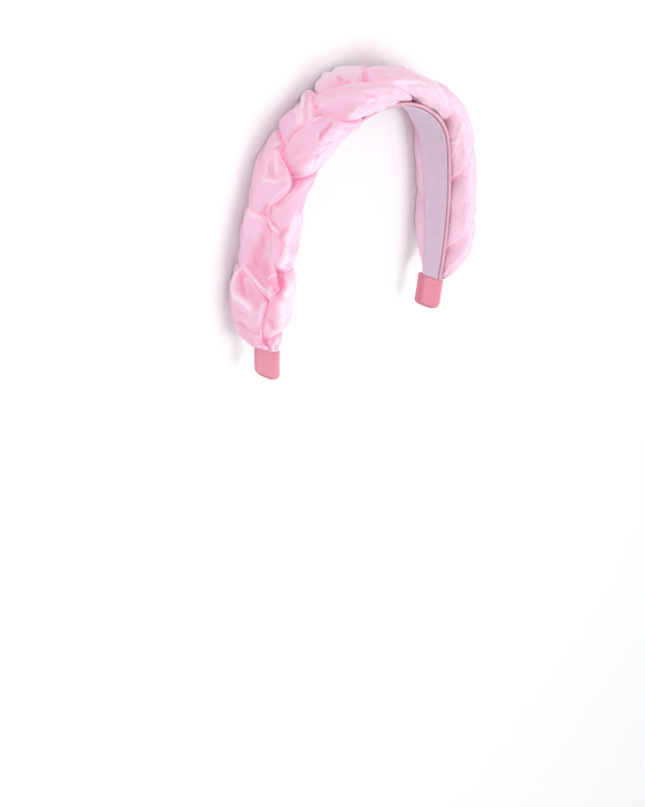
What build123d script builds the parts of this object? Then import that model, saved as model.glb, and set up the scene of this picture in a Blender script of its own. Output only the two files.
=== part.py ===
"""A braided headband that lies on its side, in millimetres.

The hoop's plane is level. +Y points to the crown, +X to the wearer's left and +Z to the front edge.
The origin is on the surface that it lies on, under the middle of the whole band.
Arc is the way along the hoop's outer face from the crown, positive to the wearer's left.
Out is the distance outwards from that face, and across is the height over the plait's mid plane.
"""

import math
import os

from build123d import *

# The hoop's outer face, bent from three radii on each side
crown_radius = 76.7
shoulder_radius = 42.8
leg_radius = 252.5
crown_turn = 39.0  # degrees that the hoop has turned where the crown meets the shoulder
leg_turn = 74.5  # degrees that it has turned where the shoulder meets the leg
plait_reach = 162.0  # arc from the crown to each neck of the plait
tip_length = 15.0  # bare end of the hoop beyond the neck

# The hoop's own section and the strip inside it
hoop_thickness = 1.6
hoop_crown_width = 25.0
hoop_tip_width = 12.6
hoop_corner = 4.5
lining_thickness = 0.8
lining_margin = 1.2  # the lining stops this far inside the hoop's edges

# The ribbon sleeves on the two ends
cover_wall = 0.8
cover_corner = 5.2

# The plait: its rounded section, and the flat bed where it sits on the hoop
plait_width = 40.4
crest_height = 8.6  # from the plait's middle up to its crest
roundness = 2.6  # 2 gives an oval section and a higher number a squarer one
bed_depth = 7.2  # from the plait's middle down to the bed
neck_run = 32.0  # arc over which the plait tapers into its neck
neck_share = 0.40  # the neck's section as a share of the full one
neck_fill = 0.8  # under 1, the plait is full early and its neck is short
sweep_ease = 0.1  # share of the half width over which the sweep of the back edge sets in
pull_spread = 0.46  # how far round its place a pull is felt, as a share of the half width

# One strand: how far its middle swings, and the oval that it would puff up to if nothing pressed it
swing = 14.0
rise = 3.8
turn_dwell = 0.10  # share by which a strand lingers at the plait's edges
puff_width = 31.0
puff_height = 16.4
upper_lap = 0.35  # share of its section by which an upper strand spreads over a lower one
crease = 6.0  # a higher number gives a sharper crease between strands

# Clearances
seat_gap = 0.3
strand_gap = 1.0
same_length = 0.01  # edges within this of a length have that length

# Facets of a strand
stations = 120
sides = 14
steps_per_station = 10  # steps that are measured to spread the stations
solve_steps = 24  # halvings that find the plait's skin
skin_search = 9.0  # puffed half sizes within which the skin is looked for

# How the plait runs, from the right neck to the left one.
# Columns: place as a share of plait_reach, lobes passed in half pitches, roll of the plait in degrees,
# sweep of the back edge towards the right neck as a share of the plait's half width,
# girth as a share of the full section
PLAIT = [
    (-1.000, -4.60, 35, 0.0, 1.00),
    (-0.880, -3.70, 39, 0.0, 1.00),
    (-0.735, -2.60, 42, 0.15, 1.00),
    (-0.655, -1.70, 38, 0.30, 0.97),
    (-0.550, -1.15, 33, 0.60, 0.94),
    (-0.445, -0.60, 28, 0.70, 0.92),
    (-0.370, 0.40, 15, 0.25, 0.95),
    (-0.285, 1.40, 2, 0.0, 0.96),
    (-0.190, 2.40, -10, 0.0, 0.97),
    (-0.085, 3.40, -18, 0.0, 1.00),
    (0.044, 4.40, -14, 0.0, 1.00),
    (0.171, 5.40, -8, 0.0, 1.00),
    (0.299, 6.40, 0, 0.0, 1.00),
    (0.414, 7.40, 0, 0.0, 1.00),
    (0.534, 8.40, 0, 0.0, 1.00),
    (0.664, 9.40, 0, 0.0, 1.00),
    (0.794, 10.40, 0, 0.0, 1.00),
    (0.900, 11.20, 0, 0.0, 1.00),
    (1.000, 11.80, 0, 0.0, 1.00),
]

# Places where the cloth is drawn along or across, which turns the seams between the strands.
# Columns: place along as a share of plait_reach, place across, pull along and pull across
# as shares of the plait's half width
PULLS = [
    (-0.130, -0.90, -0.06, -0.08),
    (-0.160, -0.62, -0.07, -0.17),
    (-0.215, -0.85, 0.00, 0.16),
    (-0.280, 0.36, 0.12, -0.20),
    (-0.315, 0.05, 0.16, -0.07),
    (-0.340, -0.15, -0.20, -0.04),
    (-0.400, 1.00, 0.00, -0.10),
    (-0.420, 0.47, -0.12, 0.14),
    (-0.470, 0.65, -0.03, -0.24),
    (-0.510, -0.75, -0.22, 0.03),
    (-0.540, 0.35, 0.04, -0.28),
    (-0.635, 0.05, 0.00, 0.34),
    (-0.700, 0.60, -0.18, 0.06),
    (-0.660, 1.05, 0.00, -0.13),
    (-0.690, -0.90, 0.05, 0.15),
    (-0.750, -0.35, 0.24, 0.20),
    (-0.790, 1.00, 0.00, 0.08),
    (-0.825, 0.10, 0.10, 0.26),
    (-0.858, 0.31, 0.05, 0.10),
    (-0.940, 0.44, -0.10, -0.20),
]

# What follows from the sizes above
crown_end = crown_radius * math.radians(crown_turn)
leg_start = crown_end + shoulder_radius * math.radians(leg_turn - crown_turn)
hoop_reach = plait_reach + tip_length
cover_reach = hoop_reach + seat_gap + cover_wall
plait_half = plait_width / 2
mid_z = plait_half


def bend(arc):
    """Position (x, y) from the crown and heading in radians at an arc of the hoop's outer face."""
    way = abs(arc)
    x = y = heading = 0.0
    spans = (
        (crown_radius, crown_end),
        (shoulder_radius, leg_start - crown_end),
        (leg_radius, math.inf),
    )
    for radius, length in spans:
        part = min(way, length)
        turned = heading + part / radius
        x += radius * (math.sin(turned) - math.sin(heading))
        y += radius * (math.cos(turned) - math.cos(heading))
        heading = turned
        way -= part
    side = math.copysign(1, arc)
    return side * x, y, side * heading


def drop_of(arc, out):
    """How far a point lies below the crown of the hoop's outer face."""
    _, y, heading = bend(arc)
    return -(y + out * math.cos(heading))


whole_top = seat_gap + bed_depth + crest_height
whole_depth = whole_top + drop_of(cover_reach, 0)
crown_y = whole_depth / 2 - whole_top


def at(arc, out):
    """Plan point (x, y) at an arc of the hoop and a distance outwards from its outer face."""
    x, y, heading = bend(arc)
    return x + out * math.sin(heading), crown_y + y + out * math.cos(heading)


def strip(start, end, low, high):
    """Sketch of the stretch from start to end between two distances from the hoop's outer face."""
    joints = [a for a in (-leg_start, -crown_end, crown_end, leg_start) if start < a < end]
    joints = [start, *joints, end]
    with BuildSketch(Plane.XY.offset(mid_z)) as made:
        with BuildLine():
            for out in (low, high):
                for a, b in zip(joints, joints[1:]):
                    ThreePointArc(at(a, out), at((a + b) / 2, out), at(b, out))
            for arc in (start, end):
                Line(at(arc, low), at(arc, high))
        make_face()
    return made.sketch


def taper(margin):
    """Side profile of the hoop: widest at the crown, narrowing to the necks, then straight."""
    tip_half = hoop_tip_width / 2 - margin
    crown_half = hoop_crown_width / 2 - margin
    top = crown_y + seat_gap
    neck = crown_y - drop_of(plait_reach, 0)
    low = crown_y - drop_of(cover_reach, 0) - plait_width
    with BuildSketch(Plane.YZ) as made:
        with BuildLine():
            Polyline(
                (low, mid_z - tip_half),
                (neck, mid_z - tip_half),
                (top, mid_z - crown_half),
                (top, mid_z + crown_half),
                (neck, mid_z + tip_half),
                (low, mid_z + tip_half),
                close=True,
            )
        make_face()
    return made.sketch


def smooth(share, column):
    """Value of a column of PLAIT at a share of the plait's reach, on a smooth curve through the rows."""
    rows = [(row[0], row[column]) for row in PLAIT]
    low = max(i for i in range(len(rows) - 1) if rows[i][0] <= share or i == 0)

    def slope(i):
        before, after = rows[max(i - 1, 0)], rows[min(i + 1, len(rows) - 1)]
        return (after[1] - before[1]) / (after[0] - before[0])

    (x0, y0), (x1, y1) = rows[low], rows[low + 1]
    span = x1 - x0
    q = (share - x0) / span
    blend = q * q * (3 - 2 * q)
    lean = slope(low) * q * (1 - q) ** 2 - slope(low + 1) * q * q * (1 - q)
    return y0 + (y1 - y0) * blend + span * lean


def fullness(share):
    """The plait's section at a place as a share of its full section, tapering to both necks."""
    way = min(1, (1 - abs(share)) * plait_reach / neck_run)
    neck = neck_share + (1 - neck_share) * math.sin(way * math.pi / 2) ** neck_fill
    return smooth(share, 4) * neck


def strand_middle(strand, share):
    """Middle (across, up) of a strand in the plait's full section."""
    lobe = smooth(share, 1) * math.pi / 3 + strand * 2 * math.pi / 3
    roll = math.radians(smooth(share, 2))
    linger = (1 + turn_dwell * math.cos(2 * lobe)) / (1 - turn_dwell)
    across = swing / plait_half * math.sin(lobe) * linger
    up = rise / crest_height * math.sin(2 * lobe)
    turned_across = across * math.cos(roll) + up * math.sin(roll)
    turned_up = up * math.cos(roll) - across * math.sin(roll)
    return turned_across * plait_half, turned_up * crest_height


def steps_to_skin(across, up, step_across, step_up):
    """How many steps lead from a point inside the plait's rounded section to its skin."""
    low, high = 0.0, skin_search
    for _ in range(solve_steps):
        steps = (low + high) / 2
        reach_across = abs((across + steps * step_across) / plait_half) ** roundness
        reach_up = abs((up + steps * step_up) / crest_height) ** roundness
        if reach_across + reach_up < 1:
            low = steps
        else:
            high = steps
    return low


def strand_section(strand, share):
    """Closed ring of points (across, up) of a strand in the full section.

    It puffs up to an oval, pressed flat by its two neighbours, the bed and the plait's skin.
    """
    half = puff_width / 2, puff_height / 2
    own = strand_middle(strand, share)
    walls = [(0, -1, (own[1] + bed_depth) / half[1])]
    for other in range(3):
        if other == strand:
            continue
        middle = strand_middle(other, share)
        du, dv = (middle[0] - own[0]) / half[0], (middle[1] - own[1]) / half[1]
        far = math.hypot(du, dv)
        du, dv = du / far, dv / far
        clear = strand_gap / 2 / math.hypot(du * half[0], dv * half[1])
        walls.append((du, dv, far / 2 - upper_lap * dv - clear))
    ring = []
    for side in range(sides):
        angle = 2 * math.pi * side / sides
        cos, sin = math.cos(angle), math.sin(angle)
        skin = steps_to_skin(*own, half[0] * cos, half[1] * sin)
        press = 1 + (1 / skin) ** crease
        press += sum((max(0, cos * du + sin * dv) / away) ** crease for du, dv, away in walls)
        size = press ** (-1 / crease)
        ring.append((own[0] + size * half[0] * cos, own[1] + size * half[1] * sin))
    return ring


def pulled(arc, across):
    """Arc and height of a point of the plait once the cloth is drawn at the places in PULLS.

    The necks hold the cloth, so a pull fades out before them.
    """
    spread = pull_spread * plait_half
    loose = min(1, (plait_reach - abs(arc)) / spread)
    along = aside = 0.0
    for place, height, pull_along, pull_aside in PULLS:
        far = math.hypot(arc - place * plait_reach, across - height * plait_half)
        near = math.exp(-((far / spread) ** 2))
        along += near * pull_along * plait_half
        aside += near * pull_aside * plait_half
    if aside * across > 0:
        aside *= 1 - (across / plait_half) ** 2
    return arc + loose * along, across + loose * aside


def strand_point(share, across, up):
    """Point in the part's frame of a point of the plait's full section at a share of its reach."""
    full = fullness(share)
    back = max(0, -across) / plait_half
    swept = smooth(share, 3) * plait_half * (math.hypot(back, sweep_ease) - sweep_ease)
    arc, across = pulled(share * plait_reach - swept, across)
    out = seat_gap + full * (bed_depth + up)
    return (*at(arc, out), mid_z + full * across)


def ring_places():
    """Shares of the plait's reach for the rings, closer together where the strands cross faster."""
    steps = steps_per_station * stations
    shares = [2 * step / steps - 1 for step in range(steps + 1)]
    mean_pace = (PLAIT[-1][1] - PLAIT[0][1]) / 2
    run = [0.0]
    for a, b in zip(shares, shares[1:]):
        pace = (smooth(b, 1) - smooth(a, 1)) / (b - a) / mean_pace
        run.append(run[-1] + 1 + max(0, pace) ** 2)
    places = []
    for station in range(stations + 1):
        wanted = run[-1] * station / stations
        places.append(min(range(steps + 1), key=lambda i: abs(run[i] - wanted)))
    return [shares[i] for i in places]


def strand_solid(strand):
    """The padded strand as a faceted solid from neck to neck."""
    rings = []
    for share in ring_places():
        ring = strand_section(strand, share)
        rings.append([Vector(*strand_point(share, across, up)) for across, up in ring])
    facets = [rings[0][::-1], rings[-1]]
    for near, far in zip(rings, rings[1:]):
        for side in range(sides):
            after = (side + 1) % sides
            facets.append([near[side], near[after], far[after]])
            facets.append([near[side], far[after], far[side]])
    return Solid(Shell([Face(Wire.make_polygon(facet)) for facet in facets]))


# Hoop: a bent strip that is widest over the crown, with rounded ends
with BuildPart() as hoop:
    extrude(strip(-hoop_reach, hoop_reach, -hoop_thickness, 0), hoop_crown_width, both=True)
    extrude(taper(0), plait_reach, both=True, mode=Mode.INTERSECT)
    end_edges = hoop.edges().filter_by(lambda e: abs(e.length - hoop_thickness) < same_length)
    fillet(end_edges.sort_by(Axis.Y)[:4], hoop_corner)
hoop.part.label = "hoop"

# Lining: a thinner, narrower strip on the hoop's inner face, from neck to neck
lining_top = -hoop_thickness - seat_gap
with BuildPart() as lining:
    bent = strip(-plait_reach, plait_reach, lining_top - lining_thickness, lining_top)
    extrude(bent, hoop_crown_width, both=True)
    extrude(taper(lining_margin), plait_reach, both=True, mode=Mode.INTERSECT)
lining.part.label = "lining"

# Tip covers: a ribbon sleeve round each end of the hoop, closed past the end
cover_start = plait_reach + seat_gap
cover_half = hoop_tip_width / 2 + seat_gap + cover_wall
cover_out = seat_gap + cover_wall
with BuildPart() as tip_cover_right:
    sleeve = strip(-cover_reach, -cover_start, -hoop_thickness - cover_out, cover_out)
    extrude(sleeve, cover_half, both=True)
    end_edges = tip_cover_right.edges().filter_by(
        lambda e: abs(e.length - hoop_thickness - 2 * cover_out) < same_length
    )
    fillet(end_edges.sort_by(Axis.Y)[:2], cover_corner)
    room = strip(-hoop_reach - seat_gap, -plait_reach, -hoop_thickness - seat_gap, seat_gap)
    extrude(room, hoop_tip_width / 2 + seat_gap, both=True, mode=Mode.SUBTRACT)
tip_cover_right.part.label = "tip_cover_right"
with BuildPart() as tip_cover_left:
    mirror(tip_cover_right.part, about=Plane.YZ)
tip_cover_left.part.label = "tip_cover_left"

os.makedirs("parts", exist_ok=True)
for piece in (hoop, lining, tip_cover_right, tip_cover_left):
    export_step(piece.part, f"parts/{piece.part.label}.step")

# Strands: three padded tubes of cloth, plaited over the hoop
for number in range(3):
    with BuildPart() as strand_part:
        add(strand_solid(number))
    strand_part.part.label = f"strand_{number + 1}"
    export_step(strand_part.part, f"parts/{strand_part.part.label}.step")
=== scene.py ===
"""A braided headband of padded organza, lying on its side on a pale floor.

Lengths in the values and tables are millimetres, and `mm` turns them into the frame's metres.
Arc is the way along the hoop's outer face from the crown, out is the distance outwards from that face,
and across is the height over the plait's mid plane. A share runs from the right neck at -1 to the left at 1.
"""

import math

import bpy
import numpy as np
from mathutils import Matrix, Vector


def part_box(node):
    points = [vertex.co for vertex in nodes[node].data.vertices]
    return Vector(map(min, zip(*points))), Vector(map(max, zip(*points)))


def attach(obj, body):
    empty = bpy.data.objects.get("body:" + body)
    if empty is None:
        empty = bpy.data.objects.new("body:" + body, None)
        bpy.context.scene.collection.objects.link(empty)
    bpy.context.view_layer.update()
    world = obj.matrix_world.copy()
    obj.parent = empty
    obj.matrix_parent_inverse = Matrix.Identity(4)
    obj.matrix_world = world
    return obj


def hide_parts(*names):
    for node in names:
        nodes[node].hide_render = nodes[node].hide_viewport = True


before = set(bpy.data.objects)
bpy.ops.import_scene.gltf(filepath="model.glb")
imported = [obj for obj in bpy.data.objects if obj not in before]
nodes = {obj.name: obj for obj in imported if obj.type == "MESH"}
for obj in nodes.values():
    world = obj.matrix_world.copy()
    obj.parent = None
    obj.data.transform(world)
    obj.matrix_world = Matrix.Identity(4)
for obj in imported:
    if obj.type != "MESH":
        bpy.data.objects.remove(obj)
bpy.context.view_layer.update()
scene = bpy.context.scene
mm = 0.001


# Hoop
# The springy core of the band: a flat strip of plastic, wound in narrow satin ribbon.
# It is bent from three radii on each side, and it is widest over the crown.
crown_radius = 76.7
shoulder_radius = 42.8
leg_radius = 252.5
crown_turn = 39.0
leg_turn = 74.5
plait_reach = 162.0
seat_gap = 0.3
hoop_thickness = 1.6
hoop_crown_width = 25.0
hoop_tip_width = 12.6
hoop_low, hoop_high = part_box("hoop")
crown_y = hoop_high.y / mm
mid_z = (hoop_low.z + hoop_high.z) / 2 / mm


def bend(arc):
    """Position (x, y) from the crown and heading at arcs of the hoop's outer face."""
    way = np.abs(arc)
    x, y, heading = np.zeros_like(way), np.zeros_like(way), np.zeros_like(way)
    crown_run = crown_radius * math.radians(crown_turn)
    shoulder_run = shoulder_radius * math.radians(leg_turn - crown_turn)
    for radius, length in (
        (crown_radius, crown_run),
        (shoulder_radius, shoulder_run),
        (leg_radius, math.inf),
    ):
        part = np.minimum(way, length)
        turned = heading + part / radius
        x = x + radius * (np.sin(turned) - np.sin(heading))
        y = y + radius * (np.cos(turned) - np.cos(heading))
        heading = turned
        way = way - part
    return np.sign(arc) * x, y, np.sign(arc) * heading


def at(arc, across, out):
    """Points in metres at arcs of the hoop, heights across the plait and distances outwards."""
    x, y, heading = bend(arc)
    plan_x = x + out * np.sin(heading)
    plan_y = crown_y + y + out * np.cos(heading)
    return np.stack([plan_x, plan_y, mid_z + across + 0 * plan_x], -1) * mm


def hoop_half_width(arc):
    """Half the hoop's width at arcs of it, widest over the crown."""
    _, rise_at, _ = bend(arc)
    _, neck_at, _ = bend(np.array([plait_reach]))
    share = (rise_at - neck_at[0]) / (seat_gap - neck_at[0])
    return hoop_tip_width / 2 + (hoop_crown_width - hoop_tip_width) / 2 * share


def new_material(name):
    """A node material, its tree and its plain shader."""
    material = bpy.data.materials.new(name)
    material.use_nodes = True
    return material, material.node_tree, material.node_tree.nodes["Principled BSDF"]


def set_inputs(tree, node, **inputs):
    """Set the inputs of a node, and link those whose value is a socket.

    An input goes by its name, with _ for a space, or by its number after an n.
    """
    for name, value in inputs.items():
        key = int(name[1:]) if name[0] == "n" and name[1:].isdigit() else name.replace("_", " ")
        if isinstance(value, bpy.types.NodeSocket):
            tree.links.new(value, node.inputs[key])
        else:
            node.inputs[key].default_value = value


def add_node(tree, kind, settings=None, **inputs):
    """A shader node with its settings and its inputs."""
    node = tree.nodes.new(kind)
    for name, value in (settings or {}).items():
        setattr(node, name, value)
    set_inputs(tree, node, **inputs)
    return node


def calculate(tree, operation, *values):
    """The result of a Math node."""
    inputs = {f"n{number}": value for number, value in enumerate(values)}
    return add_node(tree, "ShaderNodeMath", {"operation": operation}, **inputs).outputs[0]


def noise(tree, place, **inputs):
    """A value from 0 to 1 that wanders over the surface."""
    return add_node(tree, "ShaderNodeTexNoise", Vector=place, **inputs).outputs["Fac"]


def rescale(tree, value, low, high, to_low, to_high):
    """A value whose range from low to high becomes the range from to_low to to_high."""
    return add_node(tree, "ShaderNodeMapRange", n0=value, n1=low, n2=high, n3=to_low, n4=to_high).outputs[0]


def mix_colours(tree, share, first, second):
    """The colour that lies a share of the way from the first to the second."""
    return add_node(tree, "ShaderNodeMix", {"data_type": "RGBA"}, n0=share, n6=first, n7=second).outputs[2]


def new_group(name, inputs, outputs):
    """An empty node group with named inputs and outputs, and its input and output nodes."""
    group = bpy.data.node_groups.new(name, "ShaderNodeTree")
    for in_out, sockets in (("INPUT", inputs), ("OUTPUT", outputs)):
        for label, kind in sockets.items():
            group.interface.new_socket(label, in_out=in_out, socket_type=kind)
    return group, group.nodes.new("NodeGroupInput"), group.nodes.new("NodeGroupOutput")


# Threads: warp and weft as two trains of ridges, in threads for each centimetre
threads, given, put = new_group(
    "threads",
    {
        "Centimetres": "NodeSocketVector",
        "Warp": "NodeSocketFloat",
        "Weft": "NodeSocketFloat",
        "Weft share": "NodeSocketFloat",
    },
    {"Height": "NodeSocketFloat"},
)
apart = add_node(threads, "ShaderNodeSeparateXYZ", Vector=given.outputs["Centimetres"])
ridges = {}
for axis, count in (("X", "Weft"), ("Y", "Warp")):
    run = calculate(threads, "MULTIPLY", apart.outputs[axis], given.outputs[count])
    ridges[count] = calculate(threads, "SINE", calculate(threads, "MULTIPLY", run, 2 * math.pi))
woven = add_node(
    threads, "ShaderNodeMix", Factor=given.outputs["Weft share"], n2=ridges["Warp"], n3=ridges["Weft"]
)
set_inputs(threads, put, Height=woven.outputs[0])


def woven_normal(tree, centimetres, warp, weft, weft_share, strength, depth):
    """The normal of a cloth whose threads stand out by a depth in mm."""
    weave = add_node(
        tree, "ShaderNodeGroup", {"node_tree": threads}, Centimetres=centimetres, Warp=warp, Weft=weft,
        Weft_share=weft_share,
    )
    height = weave.outputs["Height"]
    return add_node(tree, "ShaderNodeBump", Strength=strength, Distance=depth * mm, Height=height).outputs[0]


def ribbon_material(name, colour, deep_tone_and_shade, warp, weft, weft_share, coordinates, relief):
    """Woven satin ribbon: two close shades in long streaks, a sheen, and its threads as relief."""
    material, tree, shader = new_material(name)
    # Object coordinates are in metres, and the ribbons' UV maps in centimetres
    in_centimetres = {"Object": 100.0, "UV": 1.0}[coordinates]
    place = add_node(tree, "ShaderNodeTexCoord").outputs[coordinates]
    centimetres = add_node(
        tree, "ShaderNodeVectorMath", {"operation": "SCALE"}, Vector=place, Scale=in_centimetres
    ).outputs[0]
    streaks = noise(tree, centimetres, Scale=2.2, Detail=4.0)
    set_inputs(
        tree,
        shader,
        Base_Color=mix_colours(tree, streaks, deep_tone_and_shade, colour),
        Roughness=rescale(tree, streaks, 0.0, 1.0, 0.32, 0.52),
        Normal=woven_normal(tree, centimetres, warp, weft, weft_share, relief, 0.1),
        Sheen_Weight=0.35,
    )
    return material


hoop_satin = ribbon_material(
    "hoop_satin",
    colour=(0.86, 0.50, 0.60, 1),
    deep_tone_and_shade=(0.74, 0.38, 0.50, 1),
    warp=30.0,
    weft=30.0,
    weft_share=0.5,
    coordinates="Object",
    relief=0.5,
)
nodes["hoop"].data.materials.clear()
nodes["hoop"].data.materials.append(hoop_satin)


# Lining
# A smooth pale ribbon glued to the inner face of the hoop, from neck to neck.
# It is a little narrower than the hoop, and its woven edges are turned and lie slightly deeper.
lining_thickness = 0.8
lining_margin = 1.2
lining_steps = 260
lining_strips = 20
ribbon_share = 0.8
edge_roll_from = 1.6
edge_roll_run = 0.8
edge_roll_depth = 0.06
ripple_depth = 0.06
ripple_length = 7.3
ripple_drift = 19.0
ripple_turn = 2.4
lining_edge_round = 0.25


def unroll(mesh, along, aside):
    """Lay out a mesh's UV map in centimetres, from the places of its vertices on the ribbon in mm."""
    corner = np.empty(len(mesh.loops), int)
    mesh.loops.foreach_get("vertex_index", corner)
    centimetres = np.stack([along, aside], -1) / 10
    mesh.uv_layers["UVMap"].data.foreach_set("uv", centimetres[corner].ravel())
    mesh.update()


bpy.ops.object.select_all(action="DESELECT")
bpy.ops.mesh.primitive_grid_add(x_subdivisions=lining_steps, y_subdivisions=lining_strips, size=2)
lining_ribbon = bpy.context.object
lining_ribbon.name = "lining_ribbon"
mesh = lining_ribbon.data
flat = np.array([v.co for v in mesh.vertices])
arc, aside = flat[:, 0] * plait_reach, flat[:, 1]
half = hoop_half_width(arc) - lining_margin
height = aside * half
edge_roll = edge_roll_depth * np.clip((np.abs(height) - half + edge_roll_from) / edge_roll_run, 0, 1)
ripple = ripple_depth * np.sin(arc / ripple_length) * np.sin(aside * ripple_turn + arc / ripple_drift)
out = -hoop_thickness - seat_gap - lining_thickness / 2 - edge_roll + ripple
mesh.vertices.foreach_set("co", at(arc, height, out).ravel())
unroll(mesh, arc, height)
thick = lining_ribbon.modifiers.new("thickness", "SOLIDIFY")
thick.thickness = ribbon_share * lining_thickness * mm
thick.offset = 0
soft = lining_ribbon.modifiers.new("soft_edges", "BEVEL")
soft.width = lining_edge_round * mm
soft.segments = 2
soft.limit_method = "ANGLE"
for modifier in ("thickness", "soft_edges"):
    bpy.ops.object.modifier_apply(modifier=modifier)
bpy.ops.object.shade_smooth_by_angle(angle=math.radians(40))
lining_satin = ribbon_material(
    "lining_ribbon",
    colour=(0.80, 0.62, 0.76, 1),
    deep_tone_and_shade=(0.70, 0.52, 0.68, 1),
    warp=8.0,
    weft=14.0,
    weft_share=0.8,
    coordinates="UV",
    relief=0.9,
)
lining_ribbon.data.materials.append(lining_satin)
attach(lining_ribbon, "root")
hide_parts("lining")


# Strands
# Three tubes of sheer silky organza over soft pink padding, plaited over the hoop and gathered at both ends.
# Each is pressed by the other two and by the hoop, so that it spreads into broad lobes with creases between.
# The loose cloth lies over the padding in tucks, in long pleats and in a fine crinkle.
plait_half = 20.2
crest_height = 8.6
roundness = 2.6
bed_depth = 7.2
swing = 14.0
rise = 3.8
turn_dwell = 0.10
puff_width = 15.5
puff_height = 8.2
upper_lap = 0.35
crease = 11.0
strand_gap = 0.1
side_change = 4.0
neck_run = 32.0
neck_share = 0.40
neck_fullness = 0.8
sweep_ease = 0.1
stations = 620
station_ease = 0.12
sides = 144

# How the plait runs, from the right neck to the left one.
# Columns: place as a share of plait_reach, lobes passed in half pitches, roll in degrees,
# sweep of the back edge towards the right neck as a share of plait_half, girth as a share of the full section
PLAIT = np.array(
    [
        (-1.000, -4.6, 35, 0, 1.00),
        (-0.880, -3.7, 39, 0, 1.00),
        (-0.735, -2.6, 42, 0.15, 1.00),
        (-0.655, -1.7, 38, 0.30, 0.97),
        (-0.550, -1.15, 33, 0.60, 0.94),
        (-0.445, -0.6, 28, 0.70, 0.92),
        (-0.370, 0.4, 15, 0.25, 0.95),
        (-0.285, 1.4, 2, 0, 0.96),
        (-0.190, 2.4, -10, 0, 0.97),
        (-0.085, 3.4, -18, 0, 1.00),
        (0.044, 4.4, -14, 0, 1.00),
        (0.171, 5.4, -8, 0, 1.00),
        (0.299, 6.4, 0, 0, 1.00),
        (0.414, 7.4, 0, 0, 1.00),
        (0.534, 8.4, 0, 0, 1.00),
        (0.664, 9.4, 0, 0, 1.00),
        (0.794, 10.4, 0, 0, 1.00),
        (0.900, 11.2, 0, 0, 1.00),
        (1.000, 11.8, 0, 0, 1.00),
    ]
)

# Places where the cloth is drawn along or across, in shares of plait_reach and of plait_half.
# Columns: place along, place across, pull along, pull across
PULLS = np.array(
    [
        (-0.130, -0.90, -0.06, -0.08),
        (-0.160, -0.62, -0.07, -0.17),
        (-0.215, -0.85, 0.00, 0.16),
        (-0.280, 0.36, 0.12, -0.20),
        (-0.315, 0.05, 0.16, -0.07),
        (-0.340, -0.15, -0.20, -0.04),
        (-0.400, 1.00, 0.00, -0.10),
        (-0.420, 0.47, -0.12, 0.14),
        (-0.470, 0.65, -0.03, -0.24),
        (-0.510, -0.75, -0.22, 0.03),
        (-0.540, 0.35, 0.04, -0.28),
        (-0.635, 0.05, 0.00, 0.34),
        (-0.700, 0.60, -0.18, 0.06),
        (-0.660, 1.05, 0.00, -0.13),
        (-0.690, -0.90, 0.05, 0.15),
        (-0.750, -0.35, 0.24, 0.20),
        (-0.790, 1.00, 0.00, 0.08),
        (-0.825, 0.10, 0.10, 0.26),
        (-0.858, 0.31, 0.05, 0.10),
        (-0.940, 0.44, -0.10, -0.20),
    ]
)
pull_spread = 0.46


def smooth(share, column):
    """Values of a column of PLAIT at shares of the plait's reach, on a smooth curve through the rows."""
    x, y = PLAIT[:, 0], PLAIT[:, column]
    last = len(x) - 1
    before, after = np.maximum(np.arange(len(x)) - 1, 0), np.minimum(np.arange(len(x)) + 1, last)
    slope = (y[after] - y[before]) / (x[after] - x[before])
    i = np.clip(np.searchsorted(x, share, side="right") - 1, 0, last - 1)
    span = x[i + 1] - x[i]
    q = (share - x[i]) / span
    lean = slope[i] * q * (1 - q) ** 2 - slope[i + 1] * q * q * (1 - q)
    return y[i] + (y[i + 1] - y[i]) * q * q * (3 - 2 * q) + span * lean


def fullness(share):
    """The plait's section at a place as a share of its full section, tapering to both necks."""
    way = np.minimum(1, (1 - np.abs(share)) * plait_reach / neck_run)
    return smooth(share, 4) * (neck_share + (1 - neck_share) * np.sin(way * np.pi / 2) ** neck_fullness)


def strand_middles(share):
    """Middles (across, up) of the three strands in the full section."""
    roll = np.radians(smooth(share, 2))
    middles = []
    for strand in range(3):
        lobe = smooth(share, 1) * np.pi / 3 + strand * 2 * np.pi / 3
        across = swing / plait_half * np.sin(lobe) * (1 + turn_dwell * np.cos(2 * lobe)) / (1 - turn_dwell)
        up = rise / crest_height * np.sin(2 * lobe)
        turned_across = across * np.cos(roll) + up * np.sin(roll)
        turned_up = up * np.cos(roll) - across * np.sin(roll)
        middles.append((turned_across[:, None] * plait_half, turned_up[:, None] * crest_height))
    return middles


def way_to_skin(across, up, step_across, step_up):
    """How many steps lead from points inside the plait's rounded section to its skin, halving a guess."""
    most_steps, halvings = 9.0, 26
    low = 0 * (step_across + across)
    high = low + most_steps
    for _ in range(halvings):
        middle = (low + high) / 2
        reach_across = np.abs((across + middle * step_across) / plait_half) ** roundness
        reach_up = np.abs((up + middle * step_up) / crest_height) ** roundness
        inside = reach_across + reach_up < 1
        low, high = np.where(inside, middle, low), np.where(inside, high, middle)
    return low


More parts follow.
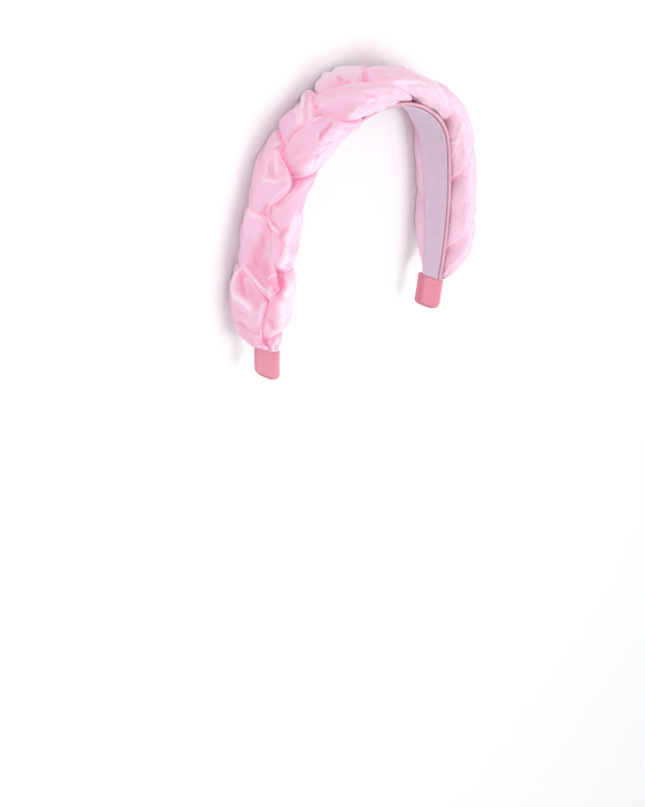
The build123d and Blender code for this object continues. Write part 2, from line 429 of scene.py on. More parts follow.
def strand_rings(strand, share, angle):
    """Rings (across, up) of a strand in the full section, and three measures of each point from 0 to 1.

    They say how close it is to a strand over it, how close to one under it, and how hard it is pressed.
    """
    middles = strand_middles(share)
    across, up = middles[strand]
    cos, sin = np.cos(angle)[None], np.sin(angle)[None]
    neighbours = np.zeros((len(share), len(angle)))
    tucked, lapping = neighbours.copy(), neighbours.copy()
    for other in range(3):
        if other == strand:
            continue
        du = (middles[other][0] - across) / puff_width
        dv = (middles[other][1] - up) / puff_height
        far = np.hypot(du, dv)
        du, dv = du / far, dv / far
        clear = strand_gap / 2 / np.hypot(du * puff_width, dv * puff_height)
        away = far / 2 - upper_lap * dv - clear
        wall = np.maximum(0, cos * du + sin * dv) / away
        neighbours += wall**crease
        tucked = np.maximum(tucked, wall * np.clip(0.5 + dv * side_change, 0, 1))
        lapping = np.maximum(lapping, wall * np.clip(0.5 - dv * side_change, 0, 1))
    bed = (np.maximum(0, -sin) / ((up + bed_depth) / puff_height)) ** crease
    skin = (1 / way_to_skin(across, up, puff_width * cos, puff_height * sin)) ** crease
    press = 1 + neighbours + bed + skin
    size = press ** (-1 / crease)
    ring_across = across + size * puff_width * cos
    ring_up = up + size * puff_height * sin
    return ring_across, ring_up, tucked * size, lapping * size, neighbours / press


def pulled(arc, across):
    """Arcs and heights of points of the plait once the cloth is drawn at the places in PULLS.

    The necks stay where they are, and nothing is drawn out past the plait's two edges.
    """
    spread = pull_spread * plait_half
    loose = np.clip((plait_reach - np.abs(arc)) / spread, 0, 1)
    along, aside = 0 * arc, 0 * across
    for place, level, pull_along, pull_aside in PULLS:
        far = np.hypot(arc - place * plait_reach, across - level * plait_half) / spread
        near = np.exp(-far * far)
        along = along + near * pull_along * plait_half
        aside = aside + near * pull_aside * plait_half
    outward = np.where(aside * across > 0, 1 - (across / plait_half) ** 2, 1)
    return arc + loose * along, across + loose * outward * aside


# Tucks and turned edges of the cloth on its outer side.
# Columns: strand (0 for all), place and height of one end, place and height of the other (shares of
# plait_reach and plait_half), half width in mm, lift in mm, painted light from a painted highlight at 1 to
# painted shade at -1
TUCKS = np.array(
    [
        (3, -0.195, 0.93, -0.108, 0.97, 2.0, 0.3, 0.55),
        (3, -0.108, 0.97, -0.020, 0.99, 2.0, 0.3, 0.55),
        (3, -0.201, 0.85, -0.142, 0.89, 0.6, 0.35, 1.0),
        (3, -0.142, 0.89, -0.117, 0.90, 0.6, 0.35, 1.0),
        (3, -0.117, 0.90, -0.076, 0.98, 0.7, 0.35, 1.0),
        (3, -0.218, -0.02, -0.113, 0.80, 1.5, 0.15, 0.2),
        (3, -0.150, -0.45, -0.090, 0.20, 0.8, 0.15, 0.4),
        (2, -0.193, -0.77, -0.246, -0.44, 0.9, 0.3, 0.9),
        (2, -0.246, -0.44, -0.289, -0.13, 0.8, 0.3, 0.8),
        (2, -0.182, -0.65, -0.260, 0.02, 0.5, 0.2, 0.7),
        (2, -0.232, -0.72, -0.297, -0.16, 0.9, 0.25, 0.6),
        (2, -0.205, -0.60, -0.275, -0.05, 0.8, -0.3, -0.4),
        (1, -0.256, 0.59, -0.311, 0.63, 0.9, -0.9, -1.0),
        (1, -0.246, 0.70, -0.309, 0.80, 0.5, 0.25, 0.5),
        (1, -0.240, 0.81, -0.305, 0.90, 0.45, 0.2, 0.6),
        (1, -0.230, 0.88, -0.290, 0.95, 0.45, 0.2, 0.6),
        (1, -0.252, 0.92, -0.343, 0.91, 2.4, 0.1, 0.8),
        (1, -0.343, 0.91, -0.407, 0.73, 1.6, 0.15, 0.8),
        (1, -0.340, 0.78, -0.390, 0.27, 0.6, 0.12, 0.3),
        (1, -0.300, 0.52, -0.318, 0.62, 0.6, 0.15, 0.6),
        (1, -0.360, 0.25, -0.420, 0.50, 4.0, -0.2, -0.35),
        (1, -0.375, -0.10, -0.405, 0.25, 2.0, -0.5, -0.8),
        (1, -0.405, 0.25, -0.430, 0.50, 1.6, -0.4, -0.8),
        (3, -0.375, -0.23, -0.410, 0.21, 1.0, 0, -0.5),
        (3, -0.377, -0.30, -0.421, -0.02, 0.8, 0.3, 0.7),
        (3, -0.455, -0.34, -0.444, 0.06, 0.7, 0.3, 0.8),
        (3, -0.444, 0.06, -0.434, 0.35, 0.6, 0.2, 0.6),
        (3, -0.450, -0.36, -0.411, -0.38, 0.7, 0.25, 0.5),
        (3, -0.423, -0.24, -0.435, -0.05, 2.2, -0.5, -0.5),
        (3, -0.357, -0.43, -0.363, -0.42, 1.0, 0.4, 1.0),
        (3, -0.455, 0.40, -0.507, 0.05, 0.6, 0.15, 0.5),
        (3, -0.507, 0.05, -0.534, -0.08, 0.6, 0.1, 0.5),
        (2, -0.450, 0.62, -0.480, 0.42, 0.6, 0.2, 0.5),
        (2, -0.480, 0.42, -0.520, 0.28, 0.6, 0.2, 0.4),
        (2, -0.465, 0.50, -0.505, 0.25, 1.3, -0.4, -0.8),
        (3, -0.521, -0.03, -0.544, -0.08, 1.8, -0.4, -0.9),
        (2, -0.515, 0.05, -0.550, 0.11, 1.5, -0.4, -0.9),
        (2, -0.550, 0.11, -0.561, 0.31, 1.2, -0.5, -1.0),
        (2, -0.561, 0.31, -0.577, 0.50, 1.1, -0.5, -1.0),
        (2, -0.586, 0.59, -0.559, 0.73, 1.2, -0.5, -0.9),
        (2, -0.559, 0.73, -0.538, 0.78, 1.0, -0.4, -0.7),
        (2, -0.519, 0.83, -0.565, 0.81, 1.5, 0.35, 1.0),
        (2, -0.565, 0.81, -0.597, 0.78, 1.5, 0.35, 1.0),
        (2, -0.597, 0.78, -0.661, 0.80, 1.3, 0.35, 1.0),
        (0, -0.661, 0.80, -0.681, 0.77, 0.8, 0.3, 0.9),
        (0, -0.681, 0.77, -0.723, 0.50, 0.6, 0.3, 0.8),
        (2, -0.530, 0.95, -0.640, 0.93, 2.5, 0.0, 0.7),
        (1, -0.552, -0.66, -0.554, -0.35, 1.4, 0.45, 1.0),
        (1, -0.554, -0.35, -0.557, -0.19, 1.3, 0.40, 1.0),
        (0, -0.557, -0.19, -0.564, 0.14, 1.1, 0.35, 0.9),
        (0, -0.564, 0.14, -0.580, 0.52, 0.8, 0.30, 0.8),
        (1, -0.570, -0.60, -0.650, -0.50, 2.8, 0.1, 0.35),
        (1, -0.606, 0.07, -0.633, 0.18, 1.8, -0.3, -0.85),
        (2, -0.584, 0.66, -0.627, 0.80, 3.2, -0.2, -0.75),
        (1, -0.654, 0.05, -0.713, -0.03, 3.6, -0.4, -0.85),
        (1, -0.713, -0.18, -0.746, 0.36, 2.2, -0.3, -0.8),
        (1, -0.746, 0.36, -0.760, 0.59, 2.0, -0.3, -0.7),
        (1, -0.690, 0.27, -0.735, 0.60, 4.0, -0.2, -0.90),
        (1, -0.716, -0.46, -0.734, -0.01, 0.7, 0.35, 0.8),
        (1, -0.734, -0.01, -0.759, 0.37, 0.7, 0.35, 0.8),
        (1, -0.759, 0.37, -0.769, 0.53, 0.7, 0.3, 0.7),
        (2, -0.726, -0.58, -0.756, -0.67, 1.2, 0.45, 0.9),
        (2, -0.756, -0.67, -0.795, -0.69, 1.3, 0.45, 1.0),
        (2, -0.795, -0.69, -0.822, -0.56, 1.4, 0.45, 1.0),
        (2, -0.822, -0.56, -0.829, -0.36, 1.7, 0.5, 1.0),
        (2, -0.829, -0.36, -0.837, -0.07, 1.7, 0.5, 1.0),
        (2, -0.740, -0.46, -0.776, -0.38, 2.2, -0.7, -1.0),
        (2, -0.776, -0.38, -0.805, -0.25, 2.2, -0.7, -1.0),
        (2, -0.793, -0.03, -0.814, 0.19, 3.0, -0.5, -0.7),
        (2, -0.770, -0.10, -0.800, 0.25, 3.5, -0.3, -0.5),
        (0, -0.735, 0.69, -0.764, 0.74, 1.2, -0.9, -1.0),
        (0, -0.764, 0.74, -0.784, 0.92, 1.5, -1.0, -1.0),
        (3, -0.783, 0.69, -0.845, 0.80, 3.2, -0.2, -0.55),
        (3, -0.856, 0.66, -0.876, 0.72, 1.8, -0.4, -0.9),
        (0, -0.748, 0.60, -0.773, 0.58, 0.8, 0.35, 0.8),
        (0, -0.773, 0.58, -0.822, 0.36, 0.7, 0.3, 0.8),
        (0, -0.822, 0.36, -0.882, 0.28, 0.7, 0.3, 0.6),
        (3, -0.707, 0.84, -0.746, 1.00, 1.8, 0.25, 1.0),
        (3, -0.746, 1.00, -0.839, 0.98, 2.2, 0.25, 1.0),
        (3, -0.839, 0.98, -0.874, 0.90, 2.0, 0.25, 1.0),
        (0, -0.874, 0.90, -0.933, 0.62, 1.6, 0.25, 1.0),
        (2, -0.868, -0.56, -0.873, -0.11, 0.7, -0.25, -0.4),
        (2, -0.907, -0.54, -0.918, -0.17, 0.9, -0.7, -0.8),
        (2, -0.918, -0.17, -0.916, 0.19, 0.9, -0.7, -0.8),
        (0, -0.912, 0.23, -0.946, 0.26, 0.8, -1.3, -0.6),
        (0, -0.947, 0.12, -0.960, 0.29, 0.9, -1.2, -0.6),
        (0, -0.944, 0.10, -0.980, 0.26, 0.8, -1.2, -0.6),
        (2, -0.930, -0.21, -0.965, -0.05, 0.7, -0.8, -0.6),
        (0, -0.925, 0.36, -0.975, 0.31, 0.8, 0.5, 0.7),
        (1, -0.921, 0.68, -0.958, 0.51, 0.8, 0.35, 1.0),
        (1, -0.958, 0.51, -0.985, 0.44, 0.7, 0.3, 1.0),
        (1, -0.960, 0.62, -0.977, 0.56, 0.7, -0.4, -0.8),
        (0, -0.140, -0.88, -0.040, -0.80, 5.5, 2.0, 0.9),
        (0, -0.900, -0.75, -0.955, -0.50, 4.0, 1.3, -0.1),
        (3, -0.113, 0.61, -0.054, 0.86, 1.2, 0.3, 0.8),
        (2, -0.020, 0.70, 0.060, 0.85, 0.8, 0.35, 1.0),
        (2, 0.060, 0.85, 0.137, 0.93, 0.8, 0.35, 1.0),
        (2, 0.052, 0.93, 0.142, 0.98, 0.7, -0.4, -0.8),
        (2, -0.030, 0.45, 0.070, 0.62, 0.7, -0.4, -0.6),
        (3, -0.117, 0.76, -0.088, 0.90, 0.8, -0.3, -0.6),
        (3, -0.088, 0.92, -0.030, 0.98, 0.8, -0.3, -0.6),
        (1, -0.050, -0.72, -0.020, -0.66, 1.5, 0.4, 1.0),
        (1, -0.125, -0.66, -0.082, -0.64, 1.0, 0.3, 0.7),
        (1, -0.067, -0.73, -0.060, -0.44, 1.6, 0.3, 0.8),
        (1, -0.083, -0.46, -0.101, -0.21, 0.9, -0.7, -1.0),
        (2, -0.240, -0.53, -0.275, -0.21, 0.45, 0.25, 0.9),
    ]
)

# The tucks wander a little from their lines, in a slow wave and a quick one.
# Lengths of the waves in mm: the one that moves a tuck along the plait, the one that moves it across
wander_size = 0.35
wander_slow = (2.3, 2.9)
wander_quick = (0.9, 1.1)
wander_quick_share = 0.6
wander_drift = 4.0

# A tuck paints its light a little wider than it lifts, and it shows on the outer side, above this height in
# the section
painted_light_spread = 1.25
shown_from = -4.0
shown_ease = 2.0

# Places where two strands lie flush, so that no crease shows between them.
# Columns: place and height (shares of plait_reach and plait_half), spread in mm
FLUSH = np.array(
    [
        (-0.605, 0.48, 4.5),
        (-0.640, 0.56, 5.0),
        (-0.675, 0.60, 4.5),
        (-0.700, 0.75, 3.5),
        (-0.245, 0.05, 4.0),
    ]
)

# Random waves of the cloth.
# Values: seed, fewest and most folds round the tube, shortest and longest pitch along it, number of waves
WAVES = {
    "pleat": (10, (9, 20), (90, 240), 5),
    "dent": (20, (2, 5), (26, 70), 6),
    "crinkle": (30, (18, 34), (7, 22), 8),
    "ruffle": (40, (3, 7), (6, 15), 6),
    "fold": (50, (2, 6), (16, 44), 4),
}


def ease(value, low, high):
    """A smooth step from 0 at low to 1 at high."""
    q = np.clip((value - low) / (high - low), 0, 1)
    return q * q * (3 - 2 * q)


def tucks_on(strand, arc, height, up):
    """Lift in mm, painted highlight and painted shade that the tucks of a strand give at points of it."""
    slow_along = np.sin(height / wander_slow[0] + strand)
    quick_along = np.sin(height / wander_quick[0] + arc / wander_drift)
    slow_aside = np.sin(arc / wander_slow[1] + 2 * strand)
    quick_aside = np.sin(arc / wander_quick[1])
    arc_there = arc + wander_size * (slow_along + wander_quick_share * quick_along)
    height_there = height + wander_size * (slow_aside + wander_quick_share * quick_aside)
    shown = ease(up, shown_from - shown_ease, shown_from)
    raised, sunk, painted_highlight, deep_tone_and_shade = 0 * shown, 0 * shown, 0 * shown, 0 * shown
    for owner, place, level, far_place, far_level, half_width, lift, painted_light in TUCKS:
        if owner not in (0, strand + 1):
            continue
        start = np.array((place * plait_reach, level * plait_half))
        run = np.array((far_place * plait_reach, far_level * plait_half)) - start
        along, aside = arc_there - start[0], height_there - start[1]
        q = np.clip((along * run[0] + aside * run[1]) / (run @ run), 0, 1)
        far = np.hypot(along - q * run[0], aside - q * run[1]) / half_width
        near = np.exp(-far * far) * shown
        near_painted_light = np.exp(-((far / painted_light_spread) ** 2)) * shown
        raised = np.maximum(raised, lift * near)
        sunk = np.minimum(sunk, lift * near)
        # Values above 0 paint a highlight, values below 0 paint shade
        painted_highlight = np.maximum(painted_highlight, painted_light * near_painted_light)
        deep_tone_and_shade = np.maximum(deep_tone_and_shade, -painted_light * near_painted_light)
    return raised + sunk, painted_highlight, deep_tone_and_shade


def flush_at(arc, height):
    """How flush the strands lie at points of them, from 0 to 1."""
    flush = 0 * arc
    for place, level, spread in FLUSH:
        far = np.hypot(arc - place * plait_reach, height - level * plait_half) / spread
        flush = np.maximum(flush, np.exp(-(far**4)))
    return flush


def waves(kind, strand, turn, arc):
    """Smooth random waves of about -1 to 1 over a strand, of one of the kinds in WAVES."""
    seed, folds, pitch, count = WAVES[kind]
    draw = np.random.default_rng(seed + strand)
    total = 0 * turn
    for _ in range(count):
        around = draw.integers(folds[0], folds[1] + 1)
        along = 2 * np.pi / draw.uniform(*pitch) * draw.choice((-1, 1))
        total = total + np.sin(around * turn + along * arc + draw.uniform(0, 2 * np.pi))
    return total / math.sqrt(count)


# The ends at the tip covers: how much of the plait's depth and height goes into a mouth,
# and how far the loose lower cloth hangs past it
mouth_run = 7.0
mouth_depth_share = 0.22
mouth_height_share = 0.88
mouth_hang = 2.2
hang_span = (1, 7)

# How far the cloth is raised or sunk, and the level above which a wave raises it
tuck_depth = 1.0
rim_lift = 0.15
flush_fill = 1.0
pleat_depth = 0.2
dent_depth = 0.45
dent_level = 0.8
crinkle_depth = 0.07
fold_depth = 0.55
ridge_share = 0.5
gather_depth = 0.7
ruffle_depth = 0.4
crown_ruffle = 0.6
ruffle_level = 0.3

# Widths and places of the grooves between pleats and of the folds, as heights of their waves
groove_width = 0.35
fold_width = 0.22
ridge_at = 0.5
fold_dents = (-0.1, 0.8)

# The gathers at the necks
gather_run = 16.0
gather_end = 1.0
gather_folds = 13
gather_unevenness = 2.2
gather_drift = 5.0

# How close to its neighbours a strand's cloth is where each effect begins and is whole
flush_span = (0.60, 0.97)
taut_span = (0.78, 0.97)
pressed_span = (0.0, 0.9)
tuck_span = (0.60, 0.98)
rim_span = (0.86, 0.97)

# How near the plait's edge it is where the ruffles grow and the tucks fade, as shares of plait_half
ruffle_span = (0.6, 0.95)
tuck_fade = 0.8
tuck_fade_span = (0.72, 0.95)

# Arcs between which the far leg's folds grow, its ruffles calm down, and the crown's ruffles come and go
far_fold_span = (-20, 40)
far_calm = 0.6
far_calm_span = (0, 40)
crown_from_span = (-50, -30)
crown_to_span = (15, 40)

# The rounds that draw the cloth taut where it is too sharp, and how softly it rests on the floor
relax_rounds = 30
relax_share = 0.5
relax_from = (0.02, 0.10)
floor_ease = 0.2

# How strong the painted highlights, painted shade and painted glow are in the cloth's parts, from 0 to 1, and
# where each begins and is whole
rim_highlight = 0.9
rim_highlight_span = (0.85, 0.95)
rim_pressed_span = (0.4, 0.9)
pleat_highlight = 0.10
pleat_highlight_span = (0.35, 1.0)
ridge_highlight = 0.70
front_sheen = 0.45
back_sheen = 0.4
edge_sheen_span = (0.80, 0.97)
far_leg_light = 0.35
far_leg_light_span = (-35, 60)
crease_shade = 0.85
crease_shade_span = (0.55, 0.95)
groove_shade = 0.12
valley_shade = 0.60
gather_shade = 0.45
gather_shade_span = (0.1, 1.0)
gather_wash = 0.4
painted_glow_span = (0.15, 0.75)


def raised_by(points, relief):
    """Points of a tube's grid, moved outwards by a relief in mm."""
    along = np.gradient(points, axis=0)
    around = np.roll(points, -1, axis=1) - np.roll(points, 1, axis=1)
    normal = np.cross(around, along)
    normal /= np.linalg.norm(normal, axis=-1, keepdims=True)
    centre = points.mean(axis=1, keepdims=True)
    normal *= np.sign(((points - centre) * normal).sum(axis=(1, 2)).mean())
    return points + normal * relief[..., None] * mm


def rested(points):
    """Points of the cloth once it is drawn taut over what is too sharp for it and rests on the floor."""
    for _ in range(relax_rounds):
        beside = np.roll(points, 1, axis=1) + np.roll(points, -1, axis=1)
        pull = (beside[1:-1] + points[:-2] + points[2:]) / 4 - points[1:-1]
        taut = ease(np.linalg.norm(pull, axis=-1, keepdims=True) / mm, *relax_from)
        points[1:-1] += relax_share * taut * pull
    soft = floor_ease * mm
    points[..., 2] = soft * np.logaddexp(0, points[..., 2] / soft)
    return points


def strand_points(strand):
    """Grid of points of a strand in metres, its arcs, and the marks of painted highlight, painted shade and
    painted glow at each point.
    """
    way = np.linspace(-1, 1, stations)
    share = way + station_ease * (way**2 - 1)
    angle = np.linspace(-np.pi / 2, 3 * np.pi / 2, sides, endpoint=False)
    across, up, tucked, lapping, pressed = strand_rings(strand, share, angle)
    full = fullness(share)[:, None]
    back = np.maximum(0, -across) / plait_half
    swept = smooth(share, 3)[:, None] * plait_half * (np.hypot(back, sweep_ease) - sweep_ease)
    arc, across = pulled(share[:, None] * plait_reach - swept, across)
    height, out = across * full, seat_gap + full * (bed_depth + up)
    lift, painted_highlight, deep_tone_and_shade = tucks_on(strand, arc, height, up)
    flush = flush_at(arc, height)
    filled = flush * ease(np.maximum(tucked, lapping), *flush_span)
    tucked, lapping = tucked * (1 - flush), lapping * (1 - flush)

    # The ends are drawn together into the mouths of the tip covers
    q = np.clip((np.abs(arc) - plait_reach + mouth_run) / mouth_run, 0, 1)
    closing = np.sqrt(1 - q * q)
    out = seat_gap + (out - seat_gap) * (mouth_depth_share + (1 - mouth_depth_share) * closing)
    height = height * (mouth_height_share + (1 - mouth_height_share) * closing)
    arc = arc + np.sign(arc) * mouth_hang * q * q * ease(-height, *hang_span)
    points = at(arc, height, out)

    # Pleats, dents, folds, crinkle and gathers lie on the loose cloth, and ruffles along the plait's edges
    turn = angle[None] + 0 * arc
    pleat, dent, crinkle, fold, ruffle = (
        waves(kind, strand, turn, arc) for kind in ("pleat", "dent", "crinkle", "fold", "ruffle")
    )
    groove = np.exp(-((pleat / groove_width) ** 2))
    folded = ease(arc, *far_fold_span) * ease(dent, *fold_dents)
    valley = folded * np.exp(-((fold / fold_width) ** 2))
    ridge = folded * np.exp(-(((fold - ridge_at) / fold_width) ** 2))
    gather = ease(np.abs(arc), plait_reach - gather_run, plait_reach - gather_end)
    uneven = gather_unevenness * np.sin(2 * turn + strand)
    gathered = np.cos(gather_folds * turn + uneven + arc / gather_drift)
    loose = 1 - ease(np.maximum(tucked, lapping), *taut_span)
    relief = -pleat_depth * groove + dent_depth * (dent - dent_level) + crinkle_depth * crinkle
    relief = relief + fold_depth * (ridge_share * ridge - valley)
    relief = loose * (1 - gather) * relief - gather_depth * gather * (0.5 + 0.5 * gathered) + lift
    edge = np.abs(across) / plait_half
    inner = 1 - tuck_fade * ease(edge, *tuck_fade_span)
    relief = relief - tuck_depth * inner * ease(tucked, *tuck_span) + rim_lift * ease(lapping, *rim_span)
    at_crown = ease(arc, *crown_from_span) * (1 - ease(arc, *crown_to_span)) * (across < 0)
    ruffled = ruffle_depth * (1 - far_calm * ease(arc, *far_calm_span)) + crown_ruffle * at_crown
    relief = relief + ruffled * ease(edge, *ruffle_span) * (ruffle - ruffle_level)
    relief = (1 - ease(pressed, *pressed_span)) * relief + flush_fill * filled
    points = rested(raised_by(points, relief))

    # Painted highlights along the tucks, on the rims of strands that lie over others, on the ridges of pleats
    # and folds, and as sheen along the plait's two edges; then painted light over the far leg
    painted_highlights = (
        painted_highlight,
        rim_highlight * ease(lapping, *rim_highlight_span) * (1 - ease(pressed, *rim_pressed_span)),
        pleat_highlight * ease(pleat, *pleat_highlight_span) * loose,
        ridge_highlight * ridge * loose,
        front_sheen * ease(across / plait_half, *edge_sheen_span),
        back_sheen * ease(-across / plait_half, *edge_sheen_span),
    )
    painted_highlight = np.maximum.reduce(painted_highlights)
    painted_highlight = painted_highlight + (1 - painted_highlight) * far_leg_light * ease(arc, *far_leg_light_span)
    # Painted shade: along the tucks, in the creases where a strand runs under another, in the grooves between
    # pleats, in the folds' valleys and in the gathers at the necks
    painted_shades = (
        deep_tone_and_shade,
        crease_shade * ease(tucked, *crease_shade_span),
        groove_shade * groove * loose,
        valley_shade * valley * loose,
    )
    deep_tone_and_shade = np.maximum.reduce(painted_shades) * (1 - gather_wash * gather)
    deep_tone_and_shade = np.maximum(deep_tone_and_shade, gather_shade * gather * ease(gathered, *gather_shade_span))
    # The painted glow lies where the cloth is pressed into creases
    marks = {"painted_highlight": painted_highlight, "deep_tone_and_shade": deep_tone_and_shade, "painted_glow": ease(pressed, *painted_glow_span)}
    return points, arc, {mark: np.clip(values, 0, 1) for mark, values in marks.items()}


# The cloth is unrolled as if each strand were this big round all along
unrolled_girth = 75.0


def tube_from(name, points, arc, marks):
    """A closed tube whose rings are the rows of a grid of points, unrolled in centimetres as its UV map."""
    rows, columns = points.shape[:2]
    index = np.arange(rows * columns).reshape(rows, columns)
    beside = np.roll(index, -1, axis=1)
    quads = np.stack([index[:-1], beside[:-1], beside[1:], index[1:]], -1).reshape(-1, 4)
    first, last = rows * columns, rows * columns + 1
    fans = [(first, beside[0, i], index[0, i]) for i in range(columns)]
    fans += [(last, index[-1, i], beside[-1, i]) for i in range(columns)]
    middles = [points[0].mean(axis=0).tolist(), points[-1].mean(axis=0).tolist()]
    mesh = bpy.data.meshes.new(name)
    mesh.from_pydata(points.reshape(-1, 3).tolist() + middles, [], quads.tolist() + fans)
    mesh.polygons.foreach_set("use_smooth", [True] * len(mesh.polygons))

    # The seam of the UV map runs along the bed, and each end cap is drawn to one point of it
    along = arc / 10
    around = np.arange(columns + 1) / columns * unrolled_girth / 10
    left, right = around[None, :-1] + 0 * arc, around[None, 1:] + 0 * arc
    ahead = np.roll(along, -1, axis=1)
    u = np.stack([along[:-1], ahead[:-1], ahead[1:], along[1:]], -1)
    v = np.stack([left[:-1], right[:-1], right[1:], left[1:]], -1)
    unrolled = np.stack([u, v], -1).reshape(-1, 2)
    ends = np.repeat([[along[0, 0], 0.0], [along[-1, 0], 0.0]], 3 * columns, axis=0)
    uv = mesh.uv_layers.new(name="cloth")
    uv.data.foreach_set("uv", np.concatenate([unrolled, ends]).ravel())
    for mark, values in marks.items():
        layer = mesh.attributes.new(mark, "FLOAT", "POINT")
        layer.data.foreach_set("value", np.append(values.ravel(), (values[0].mean(), values[-1].mean())))
    piece = bpy.data.objects.new(name, mesh)
    scene.collection.objects.link(piece)
    return piece


# Organza: pink, with painted shade in its creases and painted highlights on its rims, and a painted glow that
# stands in for light through the padding in its creases
organza_pink = (0.895, 0.575, 0.735, 1)
organza_shade_colour = (0.86, 0.32, 0.49, 1)
organza_highlight_colour = (0.93, 0.80, 0.89, 1)
# Painted glow: faint all over, stronger in the creases, and a little less where shade is painted
painted_open_glow = (0.02, 0.006, 0.01, 1)
painted_crevice_glow = (0.20, 0.11, 0.14, 1)
painted_shaded_crevice_glow = (0.14, 0.07, 0.10, 1)
wisp_stretch = (0.35, 2.2, 1)
organza, tree, shader = new_material("organza")
cloth_place = add_node(tree, "ShaderNodeUVMap", {"uv_map": "cloth"}).outputs[0]
drawn_out = add_node(
    tree, "ShaderNodeVectorMath", {"operation": "MULTIPLY"}, n0=cloth_place, n1=wisp_stretch
).outputs[0]
# The wisps paint streaks of sheen along the cloth, and the specks break the painted rim highlights into
# glints
wisps = noise(tree, drawn_out, Scale=1.6, Detail=6.0, Roughness=0.6)
blotches = noise(tree, cloth_place, Scale=0.7, Detail=2.0)
specks = noise(tree, cloth_place, Scale=14.0, Detail=3.0)
painted_highlight_mark, painted_shade_mark, painted_glow_mark = (
    add_node(tree, "ShaderNodeAttribute", {"attribute_name": mark}).outputs["Fac"]
    for mark in ("painted_highlight", "deep_tone_and_shade", "painted_glow")
)
# Random blotches and the painted shade deepen the pink, and painted highlights and streaks of sheen turn it
# paler
depth = calculate(tree, "MAXIMUM", rescale(tree, blotches, 0.35, 0.75, 0.0, 0.4), painted_shade_mark)
speckled_highlight = calculate(tree, "MULTIPLY", painted_highlight_mark, rescale(tree, specks, 0.35, 0.6, 0.55, 1.0))
painted_highlight_share = calculate(tree, "MAXIMUM", speckled_highlight, rescale(tree, wisps, 0.50, 0.80, 0.0, 0.2))
blotched_and_shaded = mix_colours(tree, depth, organza_pink, organza_shade_colour)
painted_crevice_light = mix_colours(tree, painted_shade_mark, painted_crevice_glow, painted_shaded_crevice_glow)
set_inputs(
    tree,
    shader,
    Base_Color=mix_colours(tree, painted_highlight_share, blotched_and_shaded, organza_highlight_colour),
    Roughness=rescale(tree, wisps, 0.0, 1.0, 0.34, 0.56),
    Emission_Color=mix_colours(tree, painted_glow_mark, painted_open_glow, painted_crevice_light),
    Emission_Strength=1.0,
    Normal=woven_normal(tree, cloth_place, warp=26.0, weft=26.0, weft_share=0.5, strength=0.25, depth=0.05),
    Sheen_Weight=0.9,
    Sheen_Roughness=0.35,
    Sheen_Tint=(1.0, 0.86, 0.95, 1),
    Subsurface_Weight=0.4,
    Subsurface_Radius=(1.0, 0.45, 0.6),
    Subsurface_Scale=5 * mm,
)

for strand in range(3):
    piece = tube_from(f"padded_strand_{strand + 1}", *strand_points(strand))
    piece.data.materials.append(organza)
    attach(piece, "root")
    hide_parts(f"strand_{strand + 1}")


# Tip covers
# A short sleeve of darker ribbon pulled over each end of the hoop and glued.
# It is folded over the end, which leaves a doubled hem there, and its edges meet in a seam at the side.
tip_length = 15.0
cover_wall = 0.8
cover_cuts = 14
cover_squareness = 5
side_thinning = 0.55
corner_thinning = 0.35
front_corner = 4.4
back_corner = 1.6
corner_depth_share = 0.9
end_slack = 2.2
front_slack = 0.6
back_slack = 1.9
hem_width = 1.5
hem_rise = 0.22
hem_ease = 0.35
hem_flare = 0.6
lip_rise = 0.15
lip_run = 1.2
seam_depth = 0.18
seam_place = 0.62
seam_width = 0.05
weld_gap = 0.01
cover_start = plait_reach + seat_gap
cover_reach = plait_reach + tip_length + seat_gap + cover_wall + end_slack
cover_low = -hoop_thickness - seat_gap - cover_wall
cover_high = seat_gap + cover_wall
cover_half = hoop_tip_width / 2 + seat_gap + cover_wall
tip_ribbon = ribbon_material(
    "tip_ribbon",
    colour=(0.93, 0.34, 0.46, 1),
    deep_tone_and_shade=(0.88, 0.27, 0.38, 1),
    warp=26.0,
    weft=12.0,
    weft_share=0.7,
    coordinates="UV",
    relief=0.8,
)

# The doubled hem and a strip along the back edge are darker; their places are in the UV map's centimetres
darker_ribbon_colour = (0.74, 0.19, 0.27, 1)
hem_blend = 0.02
back_strip_run = 0.3
hem_line = (cover_reach - hem_width) / 10
back_edge = -cover_half / 10
tree = tip_ribbon.node_tree
shader = tree.nodes["Principled BSDF"]
plain_colour = shader.inputs["Base Color"].links[0].from_socket
tip_place = add_node(tree, "ShaderNodeUVMap", {"uv_map": "UVMap"}).outputs[0]
tip_along, tip_aside, _ = add_node(tree, "ShaderNodeSeparateXYZ", Vector=tip_place).outputs
hem_mask = rescale(tree, tip_along, hem_line - hem_blend, hem_line + hem_blend, 0.0, 1.0)
back_strip_mask = rescale(tree, tip_aside, back_edge, back_edge + back_strip_run, 1.0, 0.0)
darker = calculate(tree, "MAXIMUM", hem_mask, back_strip_mask)
set_inputs(tree, shader, Base_Color=mix_colours(tree, darker, plain_colour, darker_ribbon_colour))

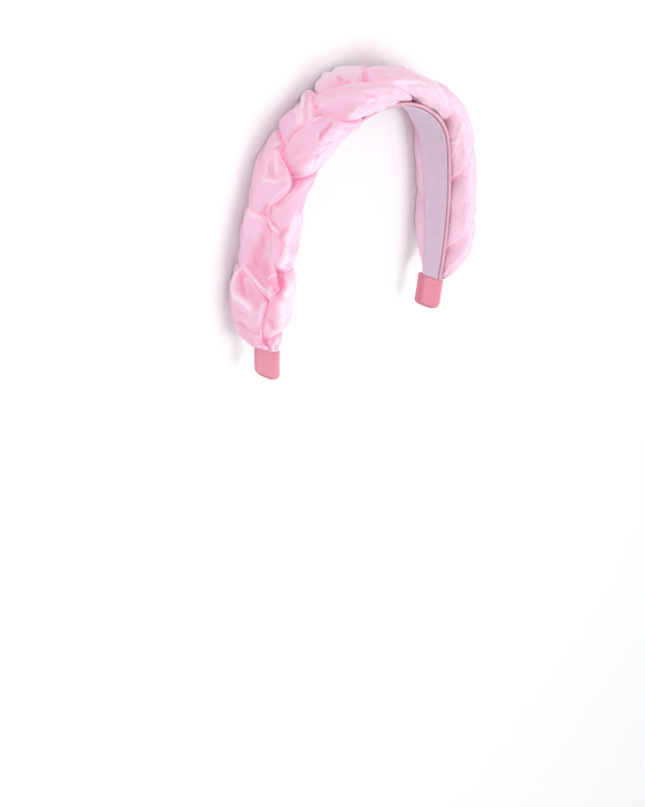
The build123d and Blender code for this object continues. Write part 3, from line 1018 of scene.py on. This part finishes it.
for side, side_name in ((-1, "right"), (1, "left")):
    bpy.ops.object.select_all(action="DESELECT")
    bpy.ops.mesh.primitive_cube_add(size=2)
    sleeve = bpy.context.object
    sleeve.name = f"ribbon_sleeve_{side_name}"
    bpy.ops.object.mode_set(mode="EDIT")
    bpy.ops.mesh.select_all(action="SELECT")
    bpy.ops.mesh.subdivide(number_cuts=cover_cuts)
    bpy.ops.object.mode_set(mode="OBJECT")
    mesh = sleeve.data
    block = np.array([v.co for v in mesh.vertices])
    along, aside, through = (block[:, 0] + 1) / 2, block[:, 1], block[:, 2]
    arc = cover_start + along * (cover_reach - cover_start)
    cut = np.where(aside > 0, front_corner, back_corner)
    past_cut = np.clip(arc - (cover_reach - cut), 0, cut)
    round_end = cut - np.sqrt(cut**2 - past_cut**2)
    half = cover_half + np.where(aside > 0, front_slack, back_slack) - corner_depth_share * round_end
    edge = np.abs(aside) ** cover_squareness
    thinned = (1 - side_thinning * edge) * (1 - corner_thinning * past_cut / cut * edge)
    half_deep = (cover_high - cover_low) / 2 * thinned
    hem = hem_rise * (np.clip((arc - cover_reach + hem_width) / hem_ease, 0, 1) - 1)
    lip = lip_rise * np.clip(1 - (arc - cover_start) / lip_run, 0, 1)
    seam = -seam_depth * np.exp(-(((aside - seam_place) / seam_width) ** 2)) * (through > 0)
    out = (cover_low + cover_high) / 2 + through * (half_deep + hem + lip) + seam
    height = aside * (half + hem_flare * hem)
    mesh.vertices.foreach_set("co", at(side * arc, height, out).ravel())
    unroll(mesh, arc, height + out)
    bpy.ops.object.mode_set(mode="EDIT")
    bpy.ops.mesh.select_all(action="SELECT")
    bpy.ops.mesh.remove_doubles(threshold=weld_gap * mm)
    bpy.ops.mesh.normals_make_consistent(inside=False)
    bpy.ops.object.mode_set(mode="OBJECT")
    finer = sleeve.modifiers.new("finer", "SUBSURF")
    finer.levels = 1
    finer.render_levels = 1
    bpy.ops.object.modifier_apply(modifier="finer")
    bpy.ops.object.shade_smooth()
    sleeve.data.materials.append(tip_ribbon)
    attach(sleeve, "root")
    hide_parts(f"tip_cover_{side_name}")


# Floor, light and camera
# A pale floor under the band, two large soft lights overhead, and the photograph's viewing angle.
# The sizes and places of these are in metres.
floor_size = 8.0
room_light = 0.72
bpy.ops.object.select_all(action="DESELECT")
bpy.ops.mesh.primitive_plane_add(size=floor_size)
floor = bpy.context.object
floor.name = "floor"
floor_paint, tree, shader = new_material("floor_paint")
floor_place = add_node(tree, "ShaderNodeTexCoord").outputs["Object"]
clouds = noise(tree, floor_place, Scale=3.0, Detail=2.0)
floor_shade = mix_colours(tree, clouds, (0.90, 0.90, 0.91, 1), (0.92, 0.92, 0.92, 1))
set_inputs(tree, shader, Base_Color=floor_shade, Roughness=0.9)
floor.data.materials.append(floor_paint)

scene.world = bpy.data.worlds.new("studio")
scene.world.use_nodes = True
studio = scene.world.node_tree
set_inputs(studio, studio.nodes["Background"], Color=(1, 1, 1, 1), Strength=room_light)
scene.view_settings.view_transform = "Standard"

plait_middle_out = 7.5
crown_middle = Vector((0, (crown_y + plait_middle_out) * mm, mid_z * mm))
camera_from_crown = Vector((-0.8767, 0.3681, 0.6825))
camera_right = Vector((0.6472, 0.0647, 0.7596))
camera_up = Vector((0.3036, 0.8921, -0.3347))
camera_data = bpy.data.cameras.new("photo_view")
camera_data.lens = 98.66
camera_data.sensor_width = 36
camera = bpy.data.objects.new("photo_view", camera_data)
scene.collection.objects.link(camera)
camera_back = camera_right.cross(camera_up)
turn = Matrix((camera_right, camera_up, camera_back)).transposed().to_4x4()
camera.matrix_world = Matrix.Translation(crown_middle + camera_from_crown) @ turn
scene.camera = camera


def soft_light(name, place, size, power):
    """A square lamp that faces the band."""
    data = bpy.data.lights.new(name, "AREA")
    data.size = size
    data.energy = power
    lamp = bpy.data.objects.new(name, data)
    lamp.location = place
    lamp.rotation_mode = "QUATERNION"
    lamp.rotation_quaternion = Vector(place).to_track_quat("Z", "Y")
    scene.collection.objects.link(lamp)


soft_light("key", place=(0.1, -0.2, 1.5), size=0.7, power=9)
soft_light("fill", place=(-1.1, 0.7, 0.9), size=1.0, power=4)
